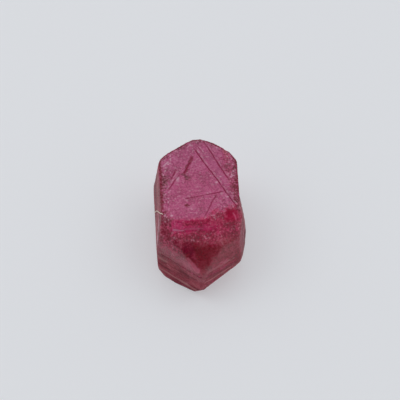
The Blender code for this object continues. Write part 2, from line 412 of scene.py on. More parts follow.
CROWN = Facet(-35.7, 60, 5.43, 5.0, Finish.DULL)
# its finish is the painted shadow under the chipped foot
FOOT_BREAK = Facet(-28, 112, 6.17, 0.05, Finish.FOOT_SHADOW)
FRONT_BREAK = Facet(8, 120, 7.0, 0.8, Finish.LINED)
CORNER_BREAK = Facet(-52, 97, 5.75, 0.0, Finish.LINED)
DARK_FRONT = Facet(2, 40, 7.43, BELT_TOP, Finish.DARK)
PALE_FRONT = FRONT_LEFT.upper()
RIGHT_FRONT = replace(FRONT_RIGHT.upper(), soft=0.25)
LEFT_RISER = Facet(4, 53, 3.1, TOP, Finish.CLEAR, soft=0.1, lowest=5.5)
RIGHT_RISER = Facet(29, 32, 2.72, TOP, Finish.MOTTLED, lowest=5.3)
LEFT_SHELF = Facet(3.8, 18, 3.52, 5.97, Finish.ETCHED, beyond=LEFT_RISER)
RIGHT_SHELF = Facet(14, 20, 4.8, 5.58, Finish.ETCHED, beyond=RIGHT_RISER)
RIGHT_WAIST = (Facet(100, 77, 4.2, BELT_TOP, Finish.SILKY),
               Facet(91.4, 87, 3.87, BELT_TOP, Finish.SILKY))
TOP_WALLS = UPPERS[:8]
WALLS = (FRONT_BREAK, CORNER_BREAK, *UNDERCUTS, *BELTS, *TOP_WALLS, *RIGHT_WAIST)
FACES = (*WALLS, LEVEL_TOP, FOOT_BREAK, SPECKLED_SLOPE, CROWN, DARK_FRONT, RIGHT_FRONT, PALE_FRONT,
         LEFT_SHELF, RIGHT_SHELF, LEFT_RISER, RIGHT_RISER)
CRISP = (DARK_FRONT, *BELTS, *UPPERS)  # faces whose finish ends in a sharp straight edge
TOP_EDGES = (SPECKLED_SLOPE, LEFT_RISER, RIGHT_RISER)
BACK_CORNERS = ((LEFT, LEFT_SHOULDER), (LEFT_SHOULDER, BACK_LEFT), (BACK_LEFT, BACK_TIP),
                (BACK_TIP, BACK_RIGHT), (BACK_RIGHT, RIGHT_SHOULDER))
FRONT_CORNERS = ((CHEEK, FRONT_RIGHT), (LEFT, FRONT_LEFT))
ROUNDED_EDGES = (  # two faces that meet, and how far from their edge the wear reaches
    (DARK_FRONT, RIGHT_FRONT, 0.9),
    (LEVEL_TOP, LEFT_RISER, 0.35),
    (LEVEL_TOP, RIGHT_RISER, 0.45),
    (SPECKLED_SLOPE, LEVEL_TOP, 0.3),
    (LEFT_SHELF, DARK_FRONT, 0.35),
    (RIGHT_SHELF, DARK_FRONT, 0.45),
    (RIGHT_SHELF, RIGHT_RISER, 0.45),
    *((first.upper(), second.upper(), 0.45) for first, second in (*BACK_CORNERS, *FRONT_CORNERS)),
    *((first.belt(), second.belt(), 0.45) for first, second in FRONT_CORNERS),
    (FRONT_LEFT.belt(), FRONT_RIGHT.belt(), 0.35),
)


@dataclass(frozen=True)
class Line:
    """A straight line on the level top: a crack, or the edge of a growth step.

    Its glint is how much the ground beside it catches the light, on the side that its sign gives.
    """

    start: Pair
    end: Pair
    width: float
    strength: float
    glint: float = 0.0

    def cover(self, x: Number, y: Number, shift: float = 0.0) -> Number:
        """Return 1 on the line and 0 away from it.

        Args:
            x: Place along X.
            y: Place along Y.
            shift: Sideways move of the line, to the right of its way from start to end.

        Returns:
            The share of the line that shows there.
        """
        reach = (self.end[0] - self.start[0], self.end[1] - self.start[1])
        length = math.hypot(*reach)
        east, north = reach[0] / length, reach[1] / length
        along = east * (x - self.start[0]) + north * (y - self.start[1])
        across = north * (x - self.start[0]) - east * (y - self.start[1]) + wander(x, y) - shift
        on_line = 1 - rise(abs(across), self.width * LINE_CORE, self.width)
        past_start = rise(along, -LINE_END, LINE_END)
        return on_line * past_start * rise(along, length + LINE_END, length - LINE_END)


TOP_LINES = (
    Line((3.69, -1.72), (-0.36, 5.5), 0.11, 0.95, 0.35),
    Line((2.93, 1.79), (0.44, 6.87), 0.1, 0.8, 0.25),
    Line((2.41, 0.29), (-1.18, -0.67), 0.1, 0.75),
    Line((1.65, -0.19), (0.6, -2.67), 0.11, 0.7),
    Line((-2.9, 0.41), (-1.8, 2.39), 0.12, 0.75, -0.5),
    Line((-2.65, 1.72), (-2.2, 2.98), 0.12, 0.7, 0.4),
    Line((-0.92, 3.55), (-0.6, 4.75), 0.24, 0.75),
    Line((-1.47, 2.42), (-0.8, 4.05), 0.15, 0.85),
    Line((0.14, 4.79), (-0.46, 5.71), 0.1, 0.65, 0.6),
    Line((0.45, 5.05), (-0.1, 5.95), 0.09, 0.55, 0.5),
    Line((3.5, -1.35), (2.6, 0.4), 0.08, 0.45),
)


@dataclass(frozen=True)
class Step:
    """A growth step: beyond its line, the level top lies lower."""

    heading: float
    reach: float
    drop: float

    def sunk(self, x: Array, y: Array) -> Array:
        """Return how much lower the top lies at each place."""
        edge = Facet(self.heading, 90, self.reach, TOP, Finish.LEVEL)
        return self.drop * rise(edge.outward(x, y, TOP) + wander(x, y), -STEP_EDGE, STEP_EDGE)


STEPS = (Step(119.1, 2.23, 0.09), Step(115.0, 3.09, 0.09), Step(-116.0, 2.95, 0.09))


@dataclass(frozen=True)
class Spot:
    """A stretch with a finish of its own: a ball that tapers along its way from start to end.

    It is ragged by a share of its radius, and fades over the share of it that is soft.
    """

    start: Place
    end: Place
    radii: Pair
    finish: Finish
    strength: float = 1.0
    ragged: float = 0.35
    soft: float = 0.5

    def cover(self, points: Array, drift: Array) -> Array:
        """Return how much of the spot shows at each point.

        Args:
            points: Places in millimetres, one row each.
            drift: Uneven sideways moves, which make the spot's outline ragged.

        Returns:
            The share of the spot at each point.
        """
        start, way = np.array(self.start), np.subtract(self.end, self.start)
        moved = points + drift * self.ragged * max(self.radii)
        along = np.clip((moved - start) @ way / max(way @ way, 1e-9), 0.0, 1.0)
        radius = self.radii[0] + (self.radii[1] - self.radii[0]) * along
        apart = np.linalg.norm(moved - start - along[:, None] * way, axis=1) / radius
        return self.strength * (1 - rise(apart, 1.0 - self.soft, 1.0 + self.soft * 0.3))


def dot(x: float, y: float, z: float, radius: float, finish: Finish, **rest: float) -> Spot:
    """Return a round spot at a place."""
    return Spot((x, y, z), (x, y, z), (radius, radius), finish, **rest)


# Small flakes that catch the light: the place, the radius and the strength of each
FLAKES = (
    (-2.8, 4.37, 6.66, 0.11, 1.0), (-2.32, 5.37, 6.66, 0.13, 0.7), (1.14, 2.18, 6.75, 0.1, 0.7),
    (1.7, 1.38, 6.75, 0.16, 0.8), (2.1, 2.12, 6.66, 0.13, 0.7), (3.13, 2.19, 6.6, 0.16, 0.9),
    (3.37, 2.9, 6.6, 0.11, 1.0), (2.2, 0.0, 6.75, 0.18, 0.5), (-2.48, -2.62, 6.75, 0.14, 1.0),
    (-3.12, -2.6, 6.75, 0.13, 0.7), (-0.7, -1.75, 6.75, 0.13, 0.6),
)
SPOTS = (
    # the ledge and the faces below it
    Spot((-2.35, -3.45, 6.45), (-1.45, -3.4, 6.45), (0.42, 0.38), Finish.MAGENTA, 1.0, 0.7, 0.9),
    Spot((-1.15, -3.35, 6.5), (1.1, -3.15, 6.48), (0.34, 0.4), Finish.CRIMSON, soft=0.7),
    dot(3.02, -2.25, 6.3, 0.8, Finish.RED_GLASS, soft=0.6),
    Spot((2.6, -5.0, 5.3), (1.3, -6.4, 4.2), (0.9, 0.45), Finish.TAWNY, ragged=0.3, soft=0.8),
    Spot((0.7, -6.75, 3.95), (0.2, -7.1, 3.6), (0.45, 0.6), Finish.TAWNY, ragged=0.3, soft=0.8),
    Spot((-2.05, -4.72, 5.45), (-1.15, -5.45, 5.05), (0.3, 0.3), Finish.BLOTCHED, ragged=0.4),
    Spot((-1.0, -4.95, 5.4), (-0.4, -6.0, 4.62), (0.5, 0.3), Finish.BLOTCHED, 0.8, 0.5, 0.8),
    Spot((0.8, -6.75, 3.95), (0.1, -7.2, 3.5), (0.45, 0.75), Finish.BROWNISH, 1.0, 0.4, 0.8),
    Spot((-0.98, -5.96, 4.62), (-0.08, -6.84, 3.86), (0.12, 0.28), Finish.MAUVE_SHEEN, 0.95, 0.15, 0.4),
    Spot((-3.25, -3.0, 6.25), (-2.95, -4.05, 5.5), (0.55, 0.5), Finish.BLOTCHED, 0.7, 0.6, 0.8),
    Spot((-1.9, 3.9, 6.66), (-0.95, 5.45, 6.66), (0.7, 0.6), Finish.LILAC, 0.15, 0.4, 0.8),
    Spot((0.6, 5.3, 6.66), (2.75, 1.35, 6.66), (0.3, 0.34), Finish.LILAC, 0.3, 0.3, 0.7),
    # painted highlight along the lip at the foot of the left riser
    Spot((-2.26, -3.77, 6.04), (-1.45, -3.78, 5.96), (0.14, 0.1), Finish.LIP_HIGHLIGHT, 0.75, 0.5, 0.7),
    Spot((-1.34, -3.7, 6.06), (0.4, -3.58, 6.09), (0.13, 0.09), Finish.LIP_HIGHLIGHT, 0.25, 1.0, 0.9),
    Spot((1.0, -6.75, 3.78), (2.6, -5.8, 3.92), (0.28, 0.26), Finish.MAUVE_SHEEN, 0.45, 0.4, 0.8),
    Spot((-3.3, -2.65, 6.6), (-3.33, -3.7, 5.45), (0.22, 0.22), Finish.BLOTCHED, 0.95, 0.5, 0.7),
    # the worn and pitted rims of the level top
    Spot((2.9, 4.4, 6.66), (3.6, 0.2, 6.66), (0.85, 0.6), Finish.SHADED, 0.95, 0.5, 0.9),
    Spot((-3.4, -2.9, 6.6), (-3.4, 2.6, 6.7), (0.6, 0.62), Finish.PITTED, 0.9, 0.8, 0.8),
    Spot((-3.7, -2.6, 6.5), (-3.68, 3.0, 6.6), (0.26, 0.26), Finish.WOUND, 0.9, 0.5, 0.8),
    Spot((-3.2, 2.6, 6.7), (-2.6, 4.6, 6.7), (0.75, 0.45), Finish.SPARKLING, 0.9, 0.6, 0.8),
    Spot((-2.95, -1.4, 6.75), (-2.8, 0.2, 6.75), (0.42, 0.42), Finish.SPARKLING, 0.9, 0.6, 0.8),
    Spot((3.45, 1.6, 6.6), (3.1, 4.9, 6.6), (0.45, 0.55), Finish.SPARKLING, 0.5, 0.6, 0.8),
    Spot((3.65, -0.8, 6.55), (3.55, 2.4, 6.6), (0.4, 0.3), Finish.PITTED, 0.9, 0.6, 0.8),
    Spot((3.5, 3.4, 6.57), (3.55, 0.0, 6.6), (0.55, 0.5), Finish.WOUND, 0.4, 0.8, 0.9),
    Spot((2.3, -1.6, 6.75), (2.6, -0.4, 6.75), (0.45, 0.55), Finish.SPARKLING, 0.9, 0.6, 0.8),
    dot(-1.72, 3.4, 6.7, 0.5, Finish.SPARKLING, strength=0.8, ragged=0.7, soft=0.9),
    dot(-1.06, 1.82, 6.75, 0.45, Finish.PITTED, strength=0.7, ragged=0.8, soft=0.9),
    # the dark wedge and the dark spots
    Spot((-1.42, 2.35, 6.75), (-0.62, 4.45, 6.75), (0.2, 0.28), Finish.WOUND, 0.75, 0.7, 0.8),
    dot(-1.08, -1.39, 6.75, 0.24, Finish.WOUND, strength=0.8, ragged=0.6),
    dot(-0.76, 4.1, 6.7, 0.2, Finish.PITTED),
    Spot((3.35, -0.45, 6.66), (3.88, -1.7, 6.39), (0.12, 0.17), Finish.WOUND, 0.8),
    # flakes and chips that catch the light
    Spot((-3.43, 3.4, 6.66), (-3.02, 3.95, 6.66), (0.1, 0.13), Finish.GLINT, 0.8),
    dot(-0.8, 6.15, 6.66, 0.24, Finish.GLINT, strength=0.5, ragged=0.7),
    dot(-2.02, 1.74, 6.75, 0.3, Finish.GLINT, strength=0.7, ragged=0.7),
    *(dot(*flake[:4], Finish.GLINT, strength=flake[4]) for flake in FLAKES),
    Spot((3.1, -0.7, 6.66), (3.22, -1.5, 6.63), (0.09, 0.1), Finish.GLINT, 0.65, 0.4, 0.8),
    Spot((3.52, -0.85, 6.55), (3.9, -1.2, 6.1), (0.08, 0.09), Finish.GLINT, 0.7, 0.4, 0.8),
    Spot((3.22, -2.05, 6.38), (3.49, -2.55, 6.12), (0.07, 0.08), Finish.GLINT, 0.25, 0.8, 0.8),
    # streaks of painted highlight on the left and right sides, and the arcs on the belt
    Spot((-3.74, -1.5, 5.22), (-3.72, -2.6, 5.04), (0.03, 0.15), Finish.STREAK_HIGHLIGHT, 0.9, 0.9, 0.9),
    Spot((-3.72, -2.6, 5.04), (-3.7, -3.5, 4.9), (0.15, 0.03), Finish.STREAK_HIGHLIGHT, 0.9, 0.9, 0.9),
    Spot((-3.93, -2.0, 4.3), (-3.86, -3.3, 4.18), (0.03, 0.16), Finish.STREAK_HIGHLIGHT, 0.9, 0.9, 0.9),
    Spot((-3.86, -3.3, 4.18), (-3.8, -4.25, 4.1), (0.16, 0.04), Finish.STREAK_HIGHLIGHT, 0.9, 0.9, 0.9),
    Spot((4.25, -2.1, 4.95), (4.26, -2.9, 4.2), (0.03, 0.1), Finish.STREAK_HIGHLIGHT, 0.5, 0.6, 0.8),
    Spot((4.26, -2.9, 4.2), (4.26, -3.5, 3.55), (0.1, 0.03), Finish.STREAK_HIGHLIGHT, 0.5, 0.6, 0.8),
    Spot((-3.47, -4.62, 3.33), (0.23, -7.29, 3.36), (0.12, 0.12), Finish.WOUND, 0.9, 0.3),
    Spot((0.82, -7.05, 3.26), (3.45, -5.4, 3.35), (0.09, 0.11), Finish.WOUND, 0.8, 0.3),
    Spot((0.58, -7.2, 1.9), (2.4, -6.05, 1.95), (0.08, 0.09), Finish.WOUND, 0.7, 0.3),
    Spot((0.82, -6.88, 3.68), (3.39, -5.3, 3.78), (0.11, 0.13), Finish.GLEAM, 0.8, 0.5, 0.8),
    Spot((0.58, -7.2, 2.4), (2.96, -5.69, 2.77), (0.11, 0.13), Finish.GLEAM, 0.8, 0.5, 0.8),
    Spot((-3.65, -4.47, 1.45), (-2.92, -5.01, 2.2), (0.08, 0.09), Finish.GLEAM, 0.45, 0.8, 0.8),
    Spot((-2.92, -5.01, 2.2), (-2.33, -5.44, 2.1), (0.09, 0.08), Finish.GLEAM, 0.45, 0.8, 0.8),
    Spot((-2.65, -5.2, 0.32), (-1.6, -5.96, 0.72), (0.1, 0.1), Finish.GLEAM, 0.7, 0.4, 0.8),
    # painted shadow under the chipped foot, where it meets the floor
    Spot((-2.45, -5.45, 0.02), (-1.75, -5.94, 0.1), (0.12, 0.3), Finish.FOOT_SHADOW, 1.0, 0.2, 0.3),
    Spot((-1.75, -5.94, 0.1), (-0.7, -6.6, 0.16), (0.3, 0.18), Finish.FOOT_SHADOW, 1.0, 0.2, 0.3),
)


# ---- the crystal

def lumps(points: Array, size: float, seed: float, stretch: Place = (1, 1, 1)) -> Array:
    """Return smooth noise from -1 to 1 at each point, in lumps of size times stretch millimetres."""
    scaled = points / (np.array(stretch) * size) + seed
    return np.array([noise.noise(Vector(place)) for place in scaled])


@dataclass(frozen=True)
class Marks:
    """Where the pattern of the skin darkens or lightens it, partly as painted sheen, highlights and
    shade, and its relief.
    """

    uneven: Shade
    sheen_veil: Shade
    dark_specks: Shade
    highlight_specks: Shade
    striation_shade: Shade
    striation_sheen: Shade
    cracks: Shade
    glints: Shade
    relief: Shade


@dataclass
class RubyMaterial:
    """The ruby itself: a clear red body under a skin that is frosted in places."""

    pink: Colour = (0.53, 0.048, 0.215, 1.0)
    crimson: Colour = (0.66, 0.018, 0.135, 1.0)
    dark: Colour = (0.33, 0.006, 0.03, 1.0)
    # grey of the painted sheen: the reflected floor and sky
    sheen_grey: Colour = (0.42, 0.22, 0.21, 1.0)
    # colour of the painted highlights, and of the painted sheen on the light side of the mottle
    glint: Colour = (0.95, 0.56, 0.7, 1.0)
    wine: Colour = (0.24, 0.01, 0.036, 1.0)
    # dark of the top's lines: the cracks' own, and painted shade along the edges of the growth steps
    crack: Colour = (0.26, 0.012, 0.05, 1.0)
    # near black of the painted shade in the striations and at the foot, and of the darkest specks
    shadow: Colour = (0.13, 0.003, 0.014, 1.0)
    refraction: float = 1.76
    frosted_transmission: float = 0.3
    clear_transmission: float = 0.6
    clear_roughness: float = 0.12
    frost_roughness: float = 0.3
    least_roughness: float = 0.06
    matte_roughness: float = 0.9
    relief_strength: float = 0.45
    relief_depth: float = 0.03
    line_zone: Pair = (TOP - 0.45, TOP - 0.3)
    body_colour: Colour = (0.98, 0.06, 0.3, 1.0)
    body_density: float = 600.0

    def build(self) -> bpy.types.Material:
        """Build the material.

        Returns:
            The finished material.
        """
        material = bpy.data.materials.new("ruby")
        tree = ShaderTree(material)
        skin = {layer.name: tree.attribute(layer.name) for layer in fields(Skin)}
        marks = self.marks(tree, skin)
        colour = self.colour(tree, skin, marks)
        darker = marks.cracks.largest(marks.dark_specks * 0.6).largest(marks.striation_shade * 0.6)
        frost = (skin["frost"] + marks.highlight_specks * 0.5 - marks.dark_specks * 0.3).rise(0.0, 1.0)
        rough = frost * self.frost_roughness + self.clear_roughness + marks.uneven * 0.12
        rough = rough.largest(self.least_roughness)
        bump = {"Strength": self.relief_strength, "Distance": self.relief_depth * MM}
        relief = tree.add("ShaderNodeBump", {}, {**bump, "Height": marks.relief})
        common = {"Base Color": colour, "IOR": self.refraction, "Normal": relief}
        clear = tree.principled(
            {**common, "Roughness": rough, "Transmission Weight": self.clear_transmission})
        frosted = tree.principled(
            {**common, "Roughness": rough + 0.15, "Transmission Weight": self.frosted_transmission})
        matte = tree.principled(
            {"Base Color": colour, "Roughness": self.matte_roughness, "Specular IOR Level": 0.0})
        surface = tree.mixed(skin["matte"].largest(darker), tree.mixed(frost, clear, frosted), matte)
        body = tree.add(
            "ShaderNodeVolumeAbsorption", {}, {"Color": self.body_colour, "Density": self.body_density})
        tree.end("ShaderNodeOutputMaterial", Surface=surface, Volume=body)
        return material

    def marks(self, tree: ShaderTree, skin: dict[str, Shade]) -> Marks:
        """Draw the pattern of the skin.

        Args:
            tree: The tree to add to.
            skin: The numbers of a Skin, as shades.

        Returns:
            The marks, as shades.
        """
        place = tree.place()
        grain, lined = skin["grain"], skin["lined"]
        fine = tree.grains(place, 0.17, 3.0, 0.6).rise(0.32, 0.68)
        mottle = tree.grains(place, 0.5, 2.0, 0.55).rise(0.25, 0.75)
        broad = tree.grains(place, 1.4, 2.0).rise(0.25, 0.75)
        sparkle = tree.grains(place, 0.24, 3.0, 0.6)
        clusters = tree.grains(place, 1.1, 1.0).rise(0.4, 0.6)
        strata = tree.grains(tree.scaled(place, (0.09, 0.09, 1.0)), 0.5, 3.0, 0.75)
        uneven = ((broad - 0.5) * 0.24 + (mottle - 0.5) * (grain * 0.22 + 0.12)
                  + (0.5 - fine) * (grain * 0.52 + 0.14))
        dark_specks = tree.grains(place, 0.2, 3.0, 0.6).rise(0.47, 0.34) * grain
        sparkle_highlight = (skin["sparkle_highlight"] * (clusters * 0.6 + 0.5)).smallest(1.0)
        # painted highlight: sparkle specks of the glint colour
        highlight_specks = sparkle.rise(0.52, 0.68) * sparkle_highlight
        cracks, glints = self.lines(tree, place)
        # painted sheen: a fine light veil over the frosted skin
        sheen_veil = fine * (grain * 0.06 + 0.03) * skin["frost"].rise(0.4, 0.9)
        return Marks(uneven, sheen_veil, dark_specks, highlight_specks, strata.rise(0.53, 0.4) * lined,
                     strata.rise(0.52, 0.64) * lined, cracks, glints, fine + strata * lined * 2.0)

    def lines(self, tree: ShaderTree, place: Shade) -> tuple[Shade, Shade]:
        """Draw the cracks and growth lines of the level top.

        Args:
            tree: The tree to add to.
            place: The place in millimetres.

        Returns:
            Where the lines are dark, partly as painted shade along the growth steps' edges, and where
            their far sides catch the light as painted highlights.
        """
        x, y, z = tree.parts(place)
        on_top = z.rise(*self.line_zone)
        dark, bright = tree.number(0.0), tree.number(0.0)
        for line in TOP_LINES:
            dark = dark.largest(line.cover(x, y) * line.strength)
            if line.glint:
                beside = math.copysign(line.width * 1.6, line.glint)
                bright = bright.largest(line.cover(x, y, beside) * abs(line.glint))
        broken = tree.grains(place, 0.45, 2.0).rise(0.38, 0.6)
        worn = tree.grains(place, 0.6, 2.0).rise(0.25, 0.5) * 0.6 + 0.4
        return dark * on_top * worn, bright * broken * on_top

    def colour(self, tree: ShaderTree, skin: dict[str, Shade], marks: Marks) -> Shade:
        """Colour the skin: pink where frosted, crimson where clear and dark where deep.

        Args:
            tree: The tree to add to.
            skin: The numbers of a Skin, as shades.
            marks: The pattern of the skin.

        Returns:
            The colour.
        """
        shade = skin["depth"] + marks.uneven * 0.3
        colour = tree.blend(shade.rise(-0.1, 0.6), self.pink, self.crimson)
        colour = tree.blend(shade.rise(0.45, 1.0), colour, self.dark)
        stain_and_shade = skin["stain_and_shade"] + marks.uneven * skin["stain_and_shade"] * 2.0
        colour = tree.blend(stain_and_shade.rise(0.0, 1.0), colour, self.wine)
        # above 1, toward the near black of painted shadow, deepest at the foot
        colour = tree.blend((skin["stain_and_shade"] - 1.0).rise(0.0, 1.0), colour, self.shadow)
        colour = tree.brighter(colour, 1.0 - marks.uneven.largest(-0.08) * 1.2)
        # painted sheen: grey of the reflected floor and sky on the sides and along their striations
        colour = tree.blend(skin["pale"] * 0.8 + marks.striation_sheen * 0.55, colour, self.sheen_grey)
        colour = tree.blend(marks.dark_specks * 0.75, colour, self.wine)
        # painted shade in the grooves of the striations, over their real relief; the dark specks darken
        # a little too
        colour = tree.blend(marks.striation_shade * 0.95 + marks.dark_specks * 0.15, colour, self.shadow)
        # painted highlights and sheen: the light side of the mottle, the fine veil, sparkle specks,
        # bright spots and the glints beside lines, all blended toward the glint colour
        painted_sheen = (0.0 - marks.uneven).largest(0.0) * 0.3 + marks.sheen_veil
        bright = skin["bright"] * (marks.uneven * 1.2 + 0.9)
        light = (painted_sheen + marks.highlight_specks * 0.75).largest(bright).largest(marks.glints)
        colour = tree.blend(light, colour, self.glint)
        # the top's lines: the cracks' own dark, and painted shade along the growth steps' edges
        return tree.blend(marks.cracks, colour, self.crack)


@dataclass
class RubyCrystal:
    """The crystal: a refined copy of its solid, with etched and chipped skin."""

    voxel: float = 0.073
    smoothing: float = 0.5
    smoothing_rounds: int = 1
    rounding_rounds: int = 50
    etch_depth: float = 0.03
    chip_depth: float = 0.035
    line_depth: float = 0.03
    crack_depth: float = 0.04
    growth: float = 0.03  # how far the skin is let out, to make up for the smoothing
    swell: float = 0.012  # how far the faces are from flat
    raggedness: float = 0.13
    flat_foot: float = 0.06
    top_zone: Pair = (TOP - 0.45, TOP - 0.32)
    top_inset: Pair = (0.05, 0.2)
    edge_width: Pair = (0.04, 0.22)
    rim_zone: Pair = (TOP - 0.55, TOP - 0.3)
    rim: Pair = (0.15, 1.1)  # where the worn rim of the top begins and ends, from the walls
    rim_stain: float = 0.3
    rim_sparkle_highlight: float = 0.7
    edge_line: Pair = (0.05, 0.18)
    edge_line_inset: float = 0.06
    edge_line_strength: float = 0.85
    material: RubyMaterial = field(default_factory=RubyMaterial)

    def build(self) -> Piece:
        """Build the crystal's mesh.

        Returns:
            The finished piece, at the origin.
        """
        piece = self.copy_of_solid()
        self.refine(piece)
        points = self.points(piece)
        self.level_top(points)
        skin = self.skin_at(points)
        self.press_skin(piece, points, skin)
        for name, values in skin.items():
            layer = piece.data.attributes.new(name, "FLOAT", "POINT")
            layer.data.foreach_set("value", values.astype(np.float32))
        return piece

    def copy_of_solid(self) -> Piece:
        """Copy the solid and merge its loose triangles.

        Returns:
            The copy, which is selected and active.
        """
        bpy.ops.object.select_all(action="DESELECT")
        piece = bpy.data.objects.new("ruby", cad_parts[NODE].data.copy())
        bpy.context.scene.collection.objects.link(piece)
        piece.data.materials.clear()
        piece.select_set(True)
        bpy.context.view_layer.objects.active = piece
        bpy.ops.object.mode_set(mode="EDIT")
        bpy.ops.mesh.select_all(action="SELECT")
        bpy.ops.mesh.remove_doubles(threshold=0.001 * MM)
        bpy.ops.object.mode_set(mode="OBJECT")
        return piece

    def refine(self, piece: Piece) -> None:
        """Give the copy small even faces, and soften its edges.

        Args:
            piece: The copy of the solid.
        """
        remesh = piece.modifiers.new("even faces", "REMESH")
        remesh.mode = "VOXEL"
        remesh.voxel_size = self.voxel * MM
        smooth = piece.modifiers.new("soft edges", "SMOOTH")
        smooth.factor = self.smoothing
        smooth.iterations = self.smoothing_rounds
        for modifier in (remesh.name, smooth.name):
            bpy.ops.object.modifier_apply(modifier=modifier)
        self.round_edges(piece)
        bpy.ops.object.shade_smooth()

    def round_edges(self, piece: Piece) -> None:
        """Wear down the edges that are soft on this crystal.

        Args:
            piece: The crystal's mesh.
        """
        points = self.points(piece)
        near = np.zeros(len(points))
        for first, second, width in ROUNDED_EDGES:
            apart = np.maximum(abs(first.outward(*points.T)), abs(second.outward(*points.T)))
            near = np.maximum(near, rise(apart, width, 0.3 * width))
        group = piece.vertex_groups.new(name="worn edges")
        for index in np.nonzero(near > 0.01)[0]:
            group.add([int(index)], float(near[index]), "REPLACE")
        smooth = piece.modifiers.new("worn edges", "SMOOTH")
        smooth.factor = self.smoothing
        smooth.iterations = self.rounding_rounds
        smooth.vertex_group = group.name
        bpy.ops.object.modifier_apply(modifier=smooth.name)
        piece.vertex_groups.clear()

    def points(self, piece: Piece) -> Array:
        """Return the places of a mesh's points in millimetres, one row each."""
        return np.array([vertex.co for vertex in piece.data.vertices]) / MM

    def level_top(self, points: Array) -> None:
        """Level the top between its growth steps, and cut its cracks.

        Args:
            points: Places in millimetres, one row each, which it moves.
        """
        x, y, z = points.T
        wanted = TOP - sum(step.sunk(x, y) for step in STEPS)
        for line in TOP_LINES:
            wanted = wanted - line.cover(x, y) * self.crack_depth * line.strength
        inside_edges = -np.max([face.outward(x, y, z) for face in TOP_EDGES], axis=0)
        inside = np.minimum(self.inside_walls(points), inside_edges)
        share = rise(z, *self.top_zone) * rise(inside, *self.top_inset)
        points[:, 2] += (wanted - z) * share

    def press_skin(self, piece: Piece, points: Array, skin: dict[str, Array]) -> None:
        """Press the etching, the growth lines and the chips into the surface.

        Args:
            piece: The crystal's mesh, which takes the new places.
            points: The places of its points in millimetres, one row each.
            skin: For each number of a Skin, its value at every point.
        """
        normals = np.array([normal.vector for normal in piece.data.vertex_normals])
        etch = np.clip(lumps(points, 0.26, 3.1) + 0.6 * lumps(points, 0.15, 8.7), -0.4, 1.0)
        inward = self.etch_depth * skin["grain"] * etch
        inward += self.swell * lumps(points, 2.4, 5.3) - self.growth
        walls = rise(np.abs(normals[:, 2]), 0.75, 0.45)
        lines = lumps(points, 0.2, 2.2, (14, 14, 1)) + 0.6 * lumps(points, 0.11, 6.4, (22, 22, 1))
        inward += self.line_depth * walls * np.clip(lines, -0.3, 1.2) * skin["lined"]
        inward += self.chip_depth * self.edge_at(points) * rise(lumps(points, 0.55, 9.9), 0.1, 0.45)
        points = points - normals * inward[:, None]
        low, high = (np.array(corner) / MM for corner in CAD_BOX)
        points = np.clip(points, low, high)
        points[points[:, 2] < low[2] + self.flat_foot, 2] = low[2]
        piece.data.vertices.foreach_set("co", (points * MM).ravel())
        piece.data.update()

    def edge_at(self, points: Array) -> Array:
        """Return 1 where two faces meet and 0 inside a face, at each point."""
        offsets = np.sort([abs(face.outward(*points.T)) for face in FACES], axis=0)
        return 1 - rise(offsets[1], *self.edge_width)

    def skin_at(self, points: Array) -> dict[str, Array]:
        """Work out the finish at each point, face by face.

        Args:
            points: Places in millimetres, one row each.

        Returns:
            For each number of a Skin, its value at every point.
        """
        names = [layer.name for layer in fields(Skin)]
        skin: dict[str, Array] = {}

        def lay(cover: Array, finish: Finish) -> None:
            """Lay a finish over what is there."""
            for name in names:
                skin[name] += (getattr(finish.value, name) - skin[name]) * cover

        drift = np.array([lumps(points, 0.4, seed) + 0.6 * lumps(points, 0.18, seed)
                          for seed in (1.3, 4.9, 7.7)]).T
        wavy = points + self.raggedness * drift
        weights = {face: face.weight(*(points if face in CRISP else wavy).T) for face in FACES}
        total = sum(weights.values()) + 1e-6
        for name in names:
            shares = (near * getattr(face.finish.value, name) for face, near in weights.items())
            skin[name] = sum(shares) / total
        inside = self.inside_walls(points)
        near_top = rise(points[:, 2], *self.rim_zone)
        rim = (1 - rise(inside, *self.rim)) * near_top
        for name, share in (("grain", 1.0), ("sparkle_highlight", self.rim_sparkle_highlight), ("stain_and_shade", self.rim_stain)):
            skin[name] = np.maximum(skin[name], share * rim)
        for spot in SPOTS:
            lay(spot.cover(points, drift), spot.finish)
        on_edge = 1 - rise(abs(inside - self.edge_line_inset), *self.edge_line)
        lay(self.edge_line_strength * on_edge * near_top, Finish.WOUND)
        return skin

    def inside_walls(self, points: Array) -> Array:
        """Return how far each point lies inside the nearest upper wall."""
        right = np.max([-face.outward(*points.T) for face in RIGHT_WAIST], axis=0)
        return np.min([right, *(-face.outward(*points.T) for face in TOP_WALLS)], axis=0)

    def dress(self, piece: Piece) -> None:
        """Give the crystal its material and its place in the frame.

        Args:
            piece: The finished crystal.
        """
        piece.data.materials.append(self.material.build())
        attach(piece, BODY)
        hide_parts(NODE)


